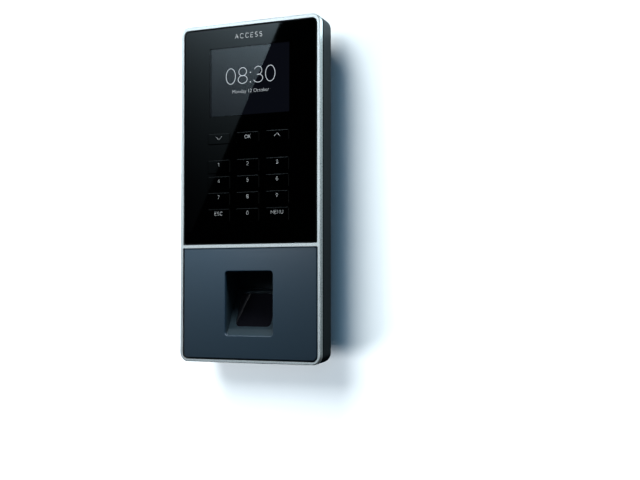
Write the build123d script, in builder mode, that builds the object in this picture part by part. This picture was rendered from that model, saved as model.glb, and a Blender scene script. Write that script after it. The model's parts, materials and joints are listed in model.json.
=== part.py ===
from build123d import *
from math import atan2, cos, sin
import os

# Wall-mounted fingerprint and card terminal.
# Millimetres. X to the viewer's right, Z up, Y from the viewer towards the wall.
# The wall is the plane Y = 0, and the origin is the centre of the bracket's screw pattern.
# Depths are counted from the front frame's face back towards the wall.

os.makedirs("parts", exist_ok=True)

# ---------------------------------------------------------------- overall size
TERMINAL_DEPTH = 32.0
FRAME_WIDTH = 100.4
FRAME_HEIGHT = 214.6
FRAME_CORNER = 5.6
TOP_RIM = 2.4
SIDE_RIM = 2.0
LOWER_RIM = 1.7
FRAME_DEPTH = 3.6
CROSSBAR_TOP = -33.1
CROSSBAR_BOTTOM = -35.4
UPPER_WIDTH = FRAME_WIDTH - 2 * SIDE_RIM
UPPER_TOP = FRAME_HEIGHT / 2 - TOP_RIM
UPPER_CORNER = FRAME_CORNER - SIDE_RIM
LOWER_WIDTH = FRAME_WIDTH - 2 * LOWER_RIM
LOWER_BOTTOM = LOWER_RIM - FRAME_HEIGHT / 2
LOWER_CORNER = FRAME_CORNER - LOWER_RIM
CROSSBAR_CORNER = 0.9
FRAME_EDGE = 0.4
FRAME_INNER_EDGE = 0.25

# ---------------------------------------------------------------- face panels
PANEL_GAP = 0.08
PANEL_BACK = 2.4
UPPER_SLOT = 0.6
LOWER_SLOT = 0.65
LOWER_TOP_SLOT = 0.15
UPPER_BEVEL = 0.25
LOWER_BEVEL = 0.55
UPPER_RECESS = 0.4
LOWER_RECESS = 0.35

# ---------------------------------------------------------------- display
DISPLAY_Z = 69.9
LENS_WIDTH = 57.6
LENS_HEIGHT = 43.2
LENS_FLANGE = 1.7
LENS_STEP = 1.4
LENS_BACK = 2.2
LENS_GAP = 0.2
LENS_CORNER = 0.6
FLANGE_CLEARANCE = 0.08
GASKET_BACK = 2.6
LCD_WIDTH = 69.2
LCD_HEIGHT = 50.0
LCD_BACK = 5.0
LCD_GLASS = 0.8
LCD_MARGIN = 0.8
LCD_CLEARANCE = 0.1
LCD_WINDOW_CLEARANCE = 0.8
LCD_FLEX_WIDTH = 22.0
LCD_FLEX_Z = 52.0
LCD_FLEX_SLOT = 7.0
LCD_SCREW_X = 37.2
LCD_SCREW_Z = 16.0
RETAINER_WIDTH = 77.6
RETAINER_HEIGHT = 52.0
RETAINER_BACK = 5.5
RETAINER_CORNER = 1.5
FLEX_SLOT_CLEARANCE = 1.5

# ---------------------------------------------------------------- keypad
KEYPAD_X = -0.7
KEY_PITCH_X = 21.1
KEY_PITCH_Z = 10.35
KEY_WIDTH = 16.4
KEY_HEIGHT = 8.6
NAV_KEY_HEIGHT = 7.0
NAV_ROW_Z = 33.9
FIRST_ROW_Z = 16.1
KEY_CORNER = 0.9
KEY_EDGE = 0.4
KEY_CLEARANCE = 0.15
KEY_FACE = 0.0
KEY_FLANGE = 0.45
KEY_FLANGE_FRONT = 2.45
KEY_FLANGE_BACK = 3.45
KEY_ROWS = [
    (NAV_ROW_Z, NAV_KEY_HEIGHT, ("key_down", "key_ok", "key_up")),
    (FIRST_ROW_Z, KEY_HEIGHT, ("key_1", "key_2", "key_3")),
    (FIRST_ROW_Z - KEY_PITCH_Z, KEY_HEIGHT, ("key_4", "key_5", "key_6")),
    (FIRST_ROW_Z - 2 * KEY_PITCH_Z, KEY_HEIGHT, ("key_7", "key_8", "key_9")),
    (FIRST_ROW_Z - 3 * KEY_PITCH_Z, KEY_HEIGHT, ("key_esc", "key_0", "key_menu")),
]
KEYPAD_WINDOW_WIDTH = 61.0
KEYPAD_WINDOW_TOP = 38.7
KEYPAD_WINDOW_BOTTOM = -20.2
KEYPAD_MID_Z = (KEYPAD_WINDOW_TOP + KEYPAD_WINDOW_BOTTOM) / 2
KEYPAD_WINDOW_HEIGHT = KEYPAD_WINDOW_TOP - KEYPAD_WINDOW_BOTTOM
KEYPAD_PCB_FRONT = 5.0
KEYPAD_PCB_BACK = 6.2
DOME_RADIUS = 2.6
DOME_TAPER = 20.0
KEYPAD_BOARD_CORNER = 2.0
KEYPAD_WINDOW_CORNER = 1.5
KEYPAD_BOARD_WIDTH = KEYPAD_WINDOW_WIDTH + 8.0
KEYPAD_BOARD_HEIGHT = KEYPAD_WINDOW_HEIGHT + 8.0
KEYPAD_SCREW_X = KEYPAD_WINDOW_WIDTH + 4.0
KEYPAD_SCREW_Z = KEYPAD_WINDOW_HEIGHT + 4.0

# ---------------------------------------------------------------- front housing
CHASSIS_BACK = 4.5
CHASSIS_INSET = 1.0
CHASSIS_RIM_BACK = 8.5
CHASSIS_RIM_INSET = 3.0
CHASSIS_RIM_WALL = 1.6
CHASSIS_BOSS = 3.3
SEAL_INSET = 1.2
SEAL_INNER_INSET = 2.9

# ---------------------------------------------------------------- finger pocket
POCKET_Z = -70.2
POCKET_WIDTH = 34.3
POCKET_HEIGHT = 40.2
POCKET_CORNER = 2.0
POCKET_LIP = 0.6
POCKET_WALL = 1.5
POCKET_CLEARANCE = 0.5
POCKET_TOP = POCKET_Z + POCKET_HEIGHT / 2
POCKET_BOTTOM = POCKET_Z - POCKET_HEIGHT / 2
POCKET_DEPTH = 19.5
SENSOR_LOW = (5.2, -86.2)
SENSOR_HIGH = (14.6, -62.6)
SENSOR_WALL = 2.4
LEDGE_RISE = 1.2
LEDGE_RUN = 1.0
LEDGE_FALL = 0.4
LEDGE_UNDERSIDE = 0.3
POCKET_LIP_WALL = 2.0
POCKET_FLANGE_WIDTH = 46.0
POCKET_FLANGE_HEIGHT = 52.0
POCKET_FLANGE_BACK = 5.7
POCKET_FLANGE_CORNER = 3.0
GLASS_WIDTH = 25.4
GLASS_LENGTH = 22.0
GLASS_CORNER = 3.0
GLASS_SUNK = 0.2
GLASS_STEP = 1.4
GLASS_FLANGE = 1.3
GLASS_CLEARANCE = 0.12
SENSOR_GASKET = 0.5
SENSOR_GASKET_LAP = 1.0
MODULE_RIM = 2.0
MODULE_WIDTH = 37.2
MODULE_LENGTH = 25.0
MODULE_EAR = 1.0
MODULE_BODY_WIDTH = 29.0
MODULE_BODY = 7.0
MODULE_EAR_LENGTH = 10.0
MODULE_EAR_CORNER = 2.0
MODULE_SCREW_X = 16.7
FLANGE_SCREW_X = 20.6
FLANGE_SCREW_Z = 23.6
ANTENNA_WIDTH = 58.0
ANTENNA_HEIGHT = 62.0
ANTENNA_BACK = 5.5
ANTENNA_CORNER = 3.0
ANTENNA_CLEARANCE = 1.0

# ---------------------------------------------------------------- rear housing
HOUSING_FRONT = 5.7
HOUSING_BACK = 31.4
WALL = 2.2
# Depth, inset from the frame's outline and corner radius of the shell's sections.
SHELL_SECTIONS = [
    (HOUSING_FRONT, 0.3, 5.3),
    (16.4, 0.85, 6.2),
    (17.2, 1.15, 6.2),
    (17.7, 1.6, 6.2),
    (HOUSING_BACK, 12.0, 6.2),
]
BAY_WIDTH = 60.0
BAY_TOP = 84.0
BAY_BOTTOM = -88.0
BAY_DEPTH = 5.0
BAY_WALL = 1.8
BAY_FLOOR = 2.0
BAY_CORNER = 2.0
WELL_WIDTH = 56.0
WELL_TOP = -9.0
WELL_BOTTOM = -46.0
WELL_FRONT = 12.2
TOWER_X = 34.0
TOWER_Z = 99.4
TOWER_RADIUS = 4.75
TOWER_FRONT = 9.9
TOWER_SEAT = 16.0
TOWER_COUNTERBORE = 3.2
TOWER_HOLE = 1.7
CAVITY_SECTIONS = [
    (HOUSING_FRONT, 0.3 + WALL, 3.1),
    (16.2, 0.85 + WALL, 4.0),
    (HOUSING_BACK - WALL, 13.1, 4.0),
]

# ---------------------------------------------------------------- electronics
PCB_FRONT = 8.2
PCB_BACK = 9.8
PCB_WIDTH = 90.0
PCB_CORNER = 1.5
PCB_TOP = 88.0
PCB_BOTTOM = -7.4
PCB_SCREW_X = 42.3
PCB_SCREW_TOP = 84.0
PCB_SCREW_BOTTOM = -3.6
TAMPER_X = 20.0
TAMPER_Z = 35.0
TAMPER_RADIUS = 2.0
TAMPER_CLEARANCE = 0.2
TAMPER_BODY_SIZE = 6.0
TAMPER_BODY_CORNER = 0.5
TAMPER_BUTTON_RADIUS = 1.7
TAMPER_BODY_BACK = 13.2
TAMPER_BUTTON_BACK = 13.5
TAMPER_GAP = 0.4
TAMPER_COLLAR_BACK = 22.4
TAMPER_COLLAR_RADIUS = 3.5
TAMPER_COLLAR_HEIGHT = 1.2
TAMPER_TIP_ROUNDING = 0.8
TAMPER_TIP = 30.75
# Box-shaped parts on the board as (x, z, width, height, thickness).
SHIELD_CAN = (-24.0, 60.0, 28.0, 28.0, 2.6)
WIFI_MODULE = (30.0, 68.0, 18.0, 25.5, 3.1)
BOARD_PART_CORNER = 0.4
BUZZER_HEIGHT = 6.0
BUZZER_RADIUS = 6.0
BUZZER_PORT_RADIUS = 1.0
BUZZER_PORT_DEPTH = 1.5
BUZZER_PLACE = (-28.0, 26.0)
CELL_PLACE = (4.0, 64.0)
CELL_RADIUS = 10.0
CELL_HEIGHT = 3.2
CELL_EDGE = 0.3
CELL_CLEARANCE = 0.1
HOLDER_SIZE = 23.0
HOLDER_CORNER = 2.0
HOLDER_HEIGHT = 5.2
HOLDER_FLOOR = 1.4
JACK_X = -16.0
JACK_WIDTH = 16.0
JACK_THICKNESS = 11.5
JACK_LENGTH = 16.0
JACK_MOUTH_WIDTH = 11.8
JACK_MOUTH_THICKNESS = 8.0
JACK_MOUTH_DEPTH = 12.0
USB_X = 2.6
USB_WIDTH = 13.2
USB_THICKNESS = 5.8
USB_LENGTH = 14.0
USB_WALL = 0.4
USB_MOUTH_DEPTH = 12.0
USB_TONGUE = 1.8
USB_TONGUE_WIDTH = 11.0
USB_TONGUE_RISE = 0.9
INLET_X = 18.5
INLET_WIDTH = 9.0
INLET_THICKNESS = 11.0
INLET_LENGTH = 14.0
INLET_BORE = 3.2
INLET_BORE_DEPTH = 10.0
INLET_PIN = 1.0
SOCKET_CLEARANCE = 0.2
SOCKETS = [
    (JACK_X, JACK_WIDTH, JACK_THICKNESS),
    (USB_X, USB_WIDTH, USB_THICKNESS),
    (INLET_X, INLET_WIDTH, INLET_THICKNESS),
]
RIBBON_THICKNESS = 0.25
RIBBON_BEND = 0.6
RIBBON_LIFT = 0.13
# Routes of the flat cables as (depth, z), from the display and the keypad board to the main board.
LCD_FLEX_ROUTE = [
    (LCD_BACK + RIBBON_LIFT, 54.0),
    (LCD_BACK + RIBBON_LIFT, 50.0),
    (PCB_FRONT - RIBBON_LIFT, 50.0),
    (PCB_FRONT - RIBBON_LIFT, 44.0),
]
KEYPAD_FLEX_X = -18.0
KEYPAD_FLEX_WIDTH = 14.0
KEYPAD_FLEX_ROUTE = [
    (KEYPAD_PCB_BACK + RIBBON_LIFT, 26.0),
    (KEYPAD_PCB_BACK + RIBBON_LIFT, 32.0),
    (PCB_FRONT - RIBBON_LIFT, 32.0),
    (PCB_FRONT - RIBBON_LIFT, 38.0),
]
CABLE_RADIUS = 0.9
CABLE_BEND = 4.0
SENSOR_CABLE_X = 26.0
CABLE_PLUG_Z = -3.0
CABLE_PLUG_WIDTH = 7.0
CABLE_PLUG_HEIGHT = 6.0
# Route of the sensor's cable as (x, depth, z), from the module's side to the board's plug.
SENSOR_CABLE_ROUTE = [
    (MODULE_BODY_WIDTH / 2, 16.6, -77.0),
    (SENSOR_CABLE_X, 16.6, -77.0),
    (SENSOR_CABLE_X, PCB_FRONT - CABLE_RADIUS, -56.0),
    (SENSOR_CABLE_X, PCB_FRONT - CABLE_RADIUS, CABLE_PLUG_Z - CABLE_PLUG_HEIGHT / 2),
]

# ---------------------------------------------------------------- wall bracket
BRACKET_THICKNESS = 1.2
BRACKET_WIDTH = 56.0
BRACKET_CORNER = 3.0
BRACKET_TOP = 82.0
BRACKET_BOTTOM = -86.0
WALL_SCREW_SPACING_X = 40.0
WALL_SCREW_SPACING_Z = 130.0
WALL_SCREW_HOLE = 2.3
CABLE_WINDOW_WIDTH = 34.0
CABLE_WINDOW_TOP = -8.0
CABLE_WINDOW_BOTTOM = -48.0
HOOK_X = 16.0
HOOK_WIDTH = 10.0
HOOK_FRONT = 27.4
HOOK_RISE = 4.0
HOOK_SIDE_PLAY = 0.5
HOOK_PLAY = 0.3
LOCK_DEPTH = 28.6
LOCK_TAB_WIDTH = 12.0
LOCK_BLOCK = 12.0
LOCK_HOLE = 1.7
LOCK_SEAT = -93.0
LOCK_COUNTERBORE = 3.0
LOCK_SCREW_RADIUS = 1.5
LOCK_CLEARANCE = 0.05
STIFFENER_HEIGHT = 4.0
STIFFENER_LENGTH = 120.0

# ---------------------------------------------------------------- fasteners
# Heads are given as (radius, height).
M2_RADIUS = 1.0
M2_CLEARANCE = 1.1
M2_HEAD = 1.9
M2_HEAD_HEIGHT = 1.2
M2_LENGTH = 2.8
M2_HOLE_END = 2.6
PCB_SCREW_RADIUS = 1.25
PCB_SCREW_LENGTH = 5.0
PCB_SCREW_HEAD = (2.3, 1.6)
PCB_SCREW_CLEARANCE = 0.15
PCB_BOSS = 2.5
HOUSING_SCREW_RADIUS = 1.5
HOUSING_SCREW_HEAD = (2.8, 2.4)
HOUSING_SCREW_LENGTH = 10.0
SECURITY_SCREW_HEAD = (2.6, 1.8)
SECURITY_SCREW_LENGTH = 8.6
INSERT_RADIUS = 2.2
INSERT_LENGTH = 4.8
PCB_SCREWS = [(x, z) for x in (-PCB_SCREW_X, PCB_SCREW_X) for z in (PCB_SCREW_BOTTOM, PCB_SCREW_TOP)]
# Screws into the front housing as (x, z, depth of the seat): display, keypad board and finger pocket.
CHASSIS_M2_SCREWS = [
    (centre_x + sx * spread_x, centre_z + sz * spread_z, seat)
    for centre_x, centre_z, spread_x, spread_z, seat in (
        (0, DISPLAY_Z, LCD_SCREW_X, LCD_SCREW_Z, RETAINER_BACK),
        (KEYPAD_X, KEYPAD_MID_Z, KEYPAD_SCREW_X / 2, KEYPAD_SCREW_Z / 2, KEYPAD_PCB_BACK),
        (0, POCKET_Z, FLANGE_SCREW_X, FLANGE_SCREW_Z, POCKET_FLANGE_BACK),
    )
    for sx in (-1, 1)
    for sz in (-1, 1)
]


def level(depth):
    """Sketch plane at a depth behind the frame's face; extrusions rise towards the viewer."""
    return Plane.XZ.offset(TERMINAL_DEPTH - depth)


def finish(builder, name):
    """Label a finished piece and write its STEP file."""
    builder.part.label = name
    export_step(builder.part, f"parts/{name}.step")


def opening_outline(width, bottom, top, bottom_radius, top_radius):
    """Outline of one opening of the front frame, or of the panel that fills it."""
    with BuildSketch() as outline:
        with Locations((0, (top + bottom) / 2)):
            Rectangle(width, top - bottom)
        fillet(outline.vertices().group_by(Axis.Y)[-1], top_radius)
        fillet(outline.vertices().group_by(Axis.Y)[0], bottom_radius)
    return outline.sketch


def frame_outline(inset, corner, mode=Mode.ADD):
    """Rounded outline set inwards from the frame's edge."""
    RectangleRounded(FRAME_WIDTH - 2 * inset, FRAME_HEIGHT - 2 * inset, corner, mode=mode)


def key_places():
    """Name, centre and height of every key cap."""
    places = []
    for row_z, height, names in KEY_ROWS:
        for column, name in enumerate(names):
            places.append((name, KEYPAD_X + (column - 1) * KEY_PITCH_X, row_z, height))
    return places


def wallward(x, z, depth):
    """Plane at a place and depth, facing the wall."""
    return Plane((x, depth - TERMINAL_DEPTH, z), x_dir=(1, 0, 0), z_dir=(0, 1, 0))


def screw(plane, head_radius, head_height, shank_radius, length):
    """Cross-head screw. The plane lies under its head and faces away from its shank."""
    with BuildPart() as bolt:
        with BuildSketch(plane):
            Circle(head_radius)
        extrude(amount=head_height)
        top = bolt.faces().sort_by(Axis(plane.origin, plane.z_dir))[-1]
        fillet(top.edges(), 0.35 * head_height)
        with BuildSketch(plane.offset(head_height)):
            Rectangle(1.1 * head_radius, 0.25 * head_radius)
            Rectangle(0.25 * head_radius, 1.1 * head_radius)
        extrude(amount=-0.5 * head_height, mode=Mode.SUBTRACT)
        with BuildSketch(plane):
            Circle(shank_radius)
        extrude(amount=-length)
    return bolt.part


def ribbon(points, x, width):
    """Flat cable along points (depth, z), centred on x."""
    with BuildPart() as strip:
        with BuildSketch(Plane.YZ.offset(x)):
            with BuildLine():
                FilletPolyline([(depth - TERMINAL_DEPTH, z) for depth, z in points], radius=RIBBON_BEND)
                offset(amount=RIBBON_THICKNESS / 2)
            make_face()
        extrude(amount=width / 2, both=True)
    return strip.part


def board_part(x, z, width, height, thickness):
    """Box-shaped part standing on the main board's back face."""
    with BuildPart() as body:
        with BuildSketch(level(PCB_BACK + thickness)):
            with Locations((x, z)):
                RectangleRounded(width, height, BOARD_PART_CORNER)
        extrude(amount=thickness)
    return body


upper_opening = opening_outline(UPPER_WIDTH, CROSSBAR_TOP, UPPER_TOP, CROSSBAR_CORNER, UPPER_CORNER)
upper_face = opening_outline(
    UPPER_WIDTH - 2 * UPPER_SLOT,
    CROSSBAR_TOP + UPPER_SLOT,
    UPPER_TOP - UPPER_SLOT,
    CROSSBAR_CORNER,
    UPPER_CORNER - UPPER_SLOT,
)
lower_opening = opening_outline(LOWER_WIDTH, LOWER_BOTTOM, CROSSBAR_BOTTOM, LOWER_CORNER, CROSSBAR_CORNER)
lower_face = opening_outline(
    LOWER_WIDTH - 2 * LOWER_SLOT,
    LOWER_BOTTOM + LOWER_SLOT,
    CROSSBAR_BOTTOM - LOWER_TOP_SLOT,
    LOWER_CORNER - LOWER_SLOT,
    CROSSBAR_CORNER,
)

# ================================================================ front frame
with BuildPart() as front_frame:
    with BuildSketch(level(FRAME_DEPTH)):
        frame_outline(0, FRAME_CORNER)
        add(upper_opening, mode=Mode.SUBTRACT)
        add(lower_opening, mode=Mode.SUBTRACT)
    extrude(amount=FRAME_DEPTH)
    face = front_frame.faces().sort_by(Axis.Y)[0]
    fillet(face.outer_wire().edges(), FRAME_EDGE)
    face = front_frame.faces().sort_by(Axis.Y)[0]
    fillet([edge for wire in face.inner_wires() for edge in wire.edges()], FRAME_INNER_EDGE)
    with BuildSketch(level(FRAME_DEPTH)):
        with Locations((0, (CROSSBAR_TOP + CROSSBAR_BOTTOM) / 2)):
            Rectangle(UPPER_WIDTH, CROSSBAR_TOP - CROSSBAR_BOTTOM + 2 * CROSSBAR_CORNER)
    extrude(amount=FRAME_DEPTH - PANEL_BACK, mode=Mode.SUBTRACT)
finish(front_frame, "front_frame")

# ================================================================ upper panel, keys and display
with BuildPart() as upper_panel:
    with BuildSketch(level(PANEL_BACK)):
        add(upper_face)
    extrude(amount=PANEL_BACK - UPPER_RECESS)
    chamfer(upper_panel.faces().sort_by(Axis.Y)[0].edges(), UPPER_BEVEL)
    with BuildSketch(level(PANEL_BACK)):
        with Locations((0, DISPLAY_Z)):
            RectangleRounded(LENS_WIDTH + 2 * LENS_GAP, LENS_HEIGHT + 2 * LENS_GAP, LENS_CORNER)
        for name, x, z, height in key_places():
            with Locations((x, z)):
                RectangleRounded(
                    KEY_WIDTH + 2 * KEY_CLEARANCE, height + 2 * KEY_CLEARANCE, KEY_CORNER + KEY_CLEARANCE
                )
    extrude(amount=PANEL_BACK, mode=Mode.SUBTRACT)
    with BuildSketch(level(PANEL_BACK)):
        with Locations((0, DISPLAY_Z)):
            Rectangle(
                LENS_WIDTH + 2 * (LENS_FLANGE + FLANGE_CLEARANCE),
                LENS_HEIGHT + 2 * (LENS_FLANGE + FLANGE_CLEARANCE),
            )
    extrude(amount=PANEL_BACK - LENS_STEP, mode=Mode.SUBTRACT)
finish(upper_panel, "upper_panel")

with BuildPart() as display_lens:
    with BuildSketch(level(LENS_STEP)):
        with Locations((0, DISPLAY_Z)):
            RectangleRounded(LENS_WIDTH, LENS_HEIGHT, LENS_CORNER)
    extrude(amount=LENS_STEP - UPPER_RECESS)
    with BuildSketch(level(LENS_BACK)):
        with Locations((0, DISPLAY_Z)):
            Rectangle(LENS_WIDTH + 2 * LENS_FLANGE, LENS_HEIGHT + 2 * LENS_FLANGE)
    extrude(amount=LENS_BACK - LENS_STEP)
finish(display_lens, "display_lens")

with BuildPart() as display_gasket:
    with BuildSketch(level(GASKET_BACK)):
        with Locations((0, DISPLAY_Z)):
            Rectangle(LENS_WIDTH + 2 * LENS_FLANGE, LENS_HEIGHT + 2 * LENS_FLANGE)
            Rectangle(LENS_WIDTH, LENS_HEIGHT, mode=Mode.SUBTRACT)
    extrude(amount=GASKET_BACK - LENS_BACK)
finish(display_gasket, "display_gasket")

with BuildPart() as lcd_panel:
    with BuildSketch(level(LCD_BACK)):
        with Locations((0, DISPLAY_Z)):
            Rectangle(LCD_WIDTH, LCD_HEIGHT)
    extrude(amount=LCD_BACK - GASKET_BACK - LCD_GLASS)
    with BuildSketch(level(GASKET_BACK + LCD_GLASS)):
        with Locations((0, DISPLAY_Z)):
            Rectangle(LCD_WIDTH - 2 * LCD_MARGIN, LCD_HEIGHT - 2 * LCD_MARGIN)
    extrude(amount=LCD_GLASS)
finish(lcd_panel, "lcd_panel")

with BuildPart() as lcd_retainer:
    with BuildSketch(level(RETAINER_BACK)):
        with Locations((0, DISPLAY_Z)):
            RectangleRounded(RETAINER_WIDTH, RETAINER_HEIGHT, RETAINER_CORNER)
    extrude(amount=RETAINER_BACK - CHASSIS_BACK)
    with BuildSketch(level(LCD_BACK)):
        with Locations((0, DISPLAY_Z)):
            Rectangle(LCD_WIDTH + 2 * LCD_CLEARANCE, LCD_HEIGHT + 2 * LCD_CLEARANCE)
    extrude(amount=LCD_BACK, mode=Mode.SUBTRACT)
    with BuildSketch(level(RETAINER_BACK)):
        with Locations((0, LCD_FLEX_Z)):
            Rectangle(LCD_FLEX_WIDTH + 2 * FLEX_SLOT_CLEARANCE, LCD_FLEX_SLOT)
        with Locations((0, DISPLAY_Z)):
            with GridLocations(2 * LCD_SCREW_X, 2 * LCD_SCREW_Z, 2, 2):
                Circle(M2_CLEARANCE)
    extrude(amount=RETAINER_BACK, mode=Mode.SUBTRACT)
finish(lcd_retainer, "lcd_retainer")

lcd_flex = ribbon(LCD_FLEX_ROUTE, 0, LCD_FLEX_WIDTH)
lcd_flex.label = "lcd_flex"
export_step(lcd_flex, "parts/lcd_flex.step")

for name, x, z, height in key_places():
    with BuildPart() as key_cap:
        with BuildSketch(level(KEY_FLANGE_BACK)):
            with Locations((x, z)):
                RectangleRounded(KEY_WIDTH + 2 * KEY_FLANGE, height + 2 * KEY_FLANGE, KEY_CORNER)
        extrude(amount=KEY_FLANGE_BACK - KEY_FLANGE_FRONT)
        with BuildSketch(level(KEY_FLANGE_FRONT)):
            with Locations((x, z)):
                RectangleRounded(KEY_WIDTH, height, KEY_CORNER)
        extrude(amount=KEY_FLANGE_FRONT - KEY_FACE)
        fillet(key_cap.faces().sort_by(Axis.Y)[0].edges(), KEY_EDGE)
    finish(key_cap, name)

with BuildPart() as key_mat:
    with BuildSketch(level(KEYPAD_PCB_FRONT)):
        with Locations((KEYPAD_X, KEYPAD_MID_Z)):
            RectangleRounded(KEYPAD_BOARD_WIDTH, KEYPAD_BOARD_HEIGHT, KEYPAD_BOARD_CORNER)
            with GridLocations(KEYPAD_SCREW_X, KEYPAD_SCREW_Z, 2, 2):
                Circle(M2_CLEARANCE, mode=Mode.SUBTRACT)
    extrude(amount=KEYPAD_PCB_FRONT - CHASSIS_BACK)
    with BuildSketch(level(CHASSIS_BACK)):
        for name, x, z, height in key_places():
            with Locations((x, z)):
                Circle(DOME_RADIUS)
    extrude(amount=CHASSIS_BACK - KEY_FLANGE_BACK, taper=DOME_TAPER)
finish(key_mat, "key_mat")

with BuildPart() as keypad_pcb:
    with BuildSketch(level(KEYPAD_PCB_BACK)):
        with Locations((KEYPAD_X, KEYPAD_MID_Z)):
            RectangleRounded(KEYPAD_BOARD_WIDTH, KEYPAD_BOARD_HEIGHT, KEYPAD_BOARD_CORNER)
            with GridLocations(KEYPAD_SCREW_X, KEYPAD_SCREW_Z, 2, 2):
                Circle(M2_CLEARANCE, mode=Mode.SUBTRACT)
    extrude(amount=KEYPAD_PCB_BACK - KEYPAD_PCB_FRONT)
finish(keypad_pcb, "keypad_pcb")

keypad_flex = ribbon(KEYPAD_FLEX_ROUTE, KEYPAD_FLEX_X, KEYPAD_FLEX_WIDTH)
keypad_flex.label = "keypad_flex"
export_step(keypad_flex, "parts/keypad_flex.step")

# ================================================================ front housing
with BuildPart() as front_housing:
    with BuildSketch(level(FRAME_DEPTH)):
        frame_outline(TOP_RIM + PANEL_GAP, FRAME_CORNER - TOP_RIM - PANEL_GAP)
    extrude(amount=FRAME_DEPTH - PANEL_BACK)
    with BuildSketch(level(CHASSIS_BACK)):
        frame_outline(CHASSIS_INSET, FRAME_CORNER - CHASSIS_INSET)
    extrude(amount=CHASSIS_BACK - FRAME_DEPTH)
    with BuildSketch(level(CHASSIS_RIM_BACK)):
        frame_outline(CHASSIS_RIM_INSET, FRAME_CORNER - CHASSIS_RIM_INSET)
        offset(amount=-CHASSIS_RIM_WALL, mode=Mode.SUBTRACT)
    extrude(amount=CHASSIS_RIM_BACK - CHASSIS_BACK)
    with BuildSketch(level(TOWER_FRONT)):
        with GridLocations(2 * TOWER_X, 2 * TOWER_Z, 2, 2):
            Circle(CHASSIS_BOSS)
    extrude(amount=TOWER_FRONT - CHASSIS_BACK)
    with BuildSketch(level(PCB_FRONT)):
        with Locations(*PCB_SCREWS):
            Circle(PCB_BOSS)
    extrude(amount=PCB_FRONT - CHASSIS_BACK)
    with BuildSketch(level(CHASSIS_BACK)):
        with Locations((0, DISPLAY_Z)):
            Rectangle(LCD_WIDTH + 2 * LCD_WINDOW_CLEARANCE, LCD_HEIGHT + 2 * LCD_WINDOW_CLEARANCE)
        with Locations((KEYPAD_X, KEYPAD_MID_Z)):
            RectangleRounded(KEYPAD_WINDOW_WIDTH, KEYPAD_WINDOW_HEIGHT, KEYPAD_WINDOW_CORNER)
        with Locations((0, POCKET_Z)):
            RectangleRounded(
                POCKET_WIDTH + 2 * (POCKET_WALL + POCKET_CLEARANCE),
                POCKET_HEIGHT + 2 * (POCKET_WALL + POCKET_CLEARANCE),
                POCKET_CLEARANCE,
            )
    extrude(amount=CHASSIS_BACK, mode=Mode.SUBTRACT)
    with BuildSketch(level(TOWER_FRONT)):
        with GridLocations(2 * TOWER_X, 2 * TOWER_Z, 2, 2):
            Circle(INSERT_RADIUS)
    extrude(amount=INSERT_LENGTH, mode=Mode.SUBTRACT)
    with BuildSketch(level(PCB_FRONT)):
        with Locations(*PCB_SCREWS):
            Circle(PCB_SCREW_RADIUS)
    extrude(amount=PCB_SCREW_LENGTH, mode=Mode.SUBTRACT)
    with BuildSketch(level(CHASSIS_BACK)):
        with Locations(*[(x, z) for x, z, depth in CHASSIS_M2_SCREWS]):
            Circle(M2_RADIUS)
    extrude(amount=CHASSIS_BACK - M2_HOLE_END, mode=Mode.SUBTRACT)
finish(front_housing, "front_housing")

# ================================================================ lower panel and finger pocket
with BuildPart() as lower_panel:
    with BuildSketch(level(PANEL_BACK)):
        add(lower_face)
        with Locations((0, POCKET_Z)):
            RectangleRounded(POCKET_WIDTH, POCKET_HEIGHT, POCKET_CORNER, mode=Mode.SUBTRACT)
    extrude(amount=PANEL_BACK - LOWER_RECESS)
    face = lower_panel.faces().sort_by(Axis.Y)[0]
    fillet([edge for wire in face.inner_wires() for edge in wire.edges()], POCKET_LIP)
    face = lower_panel.faces().sort_by(Axis.Y)[0]
    chamfer(face.outer_wire().edges(), LOWER_BEVEL)
finish(lower_panel, "lower_panel")

tilt = atan2(SENSOR_HIGH[0] - SENSOR_LOW[0], SENSOR_HIGH[1] - SENSOR_LOW[1])
bed_depth = (SENSOR_LOW[0] + SENSOR_HIGH[0]) / 2
bed_z = (SENSOR_LOW[1] + SENSOR_HIGH[1]) / 2
sensor_bed = Plane(
    (0, bed_depth - TERMINAL_DEPTH, bed_z), x_dir=(1, 0, 0), z_dir=(0, -cos(tilt), sin(tilt))
)
back_step = (SENSOR_WALL * cos(tilt), -SENSOR_WALL * sin(tilt))
hollow_profile = [
    (0, POCKET_BOTTOM),
    (PANEL_BACK, POCKET_BOTTOM),
    SENSOR_LOW,
    SENSOR_HIGH,
    (SENSOR_HIGH[0] + LEDGE_RUN, SENSOR_HIGH[1] + LEDGE_RISE),
    (POCKET_DEPTH, SENSOR_HIGH[1] + LEDGE_RISE + LEDGE_FALL),
    (POCKET_DEPTH, POCKET_TOP),
    (0, POCKET_TOP),
]
bucket_profile = [
    (PANEL_BACK, POCKET_BOTTOM - POCKET_WALL),
    (PANEL_BACK + POCKET_LIP_WALL, POCKET_BOTTOM - POCKET_WALL),
    (SENSOR_LOW[0] + back_step[0], SENSOR_LOW[1] + back_step[1]),
    (SENSOR_HIGH[0] + back_step[0], SENSOR_HIGH[1] + back_step[1]),
    (POCKET_DEPTH + POCKET_WALL, SENSOR_HIGH[1] - LEDGE_UNDERSIDE),
    (POCKET_DEPTH + POCKET_WALL, POCKET_TOP + POCKET_WALL),
    (PANEL_BACK, POCKET_TOP + POCKET_WALL),
]

with BuildPart() as pocket_hollow:
    with BuildSketch(Plane.YZ):
        with BuildLine():
            Polyline([(depth - TERMINAL_DEPTH, z) for depth, z in hollow_profile], close=True)
        make_face()
    extrude(amount=POCKET_WIDTH / 2, both=True)
    with BuildSketch(level(POCKET_DEPTH)):
        with Locations((0, POCKET_Z)):
            RectangleRounded(POCKET_WIDTH, POCKET_HEIGHT, POCKET_CORNER)
    extrude(amount=POCKET_DEPTH, mode=Mode.INTERSECT)

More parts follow.
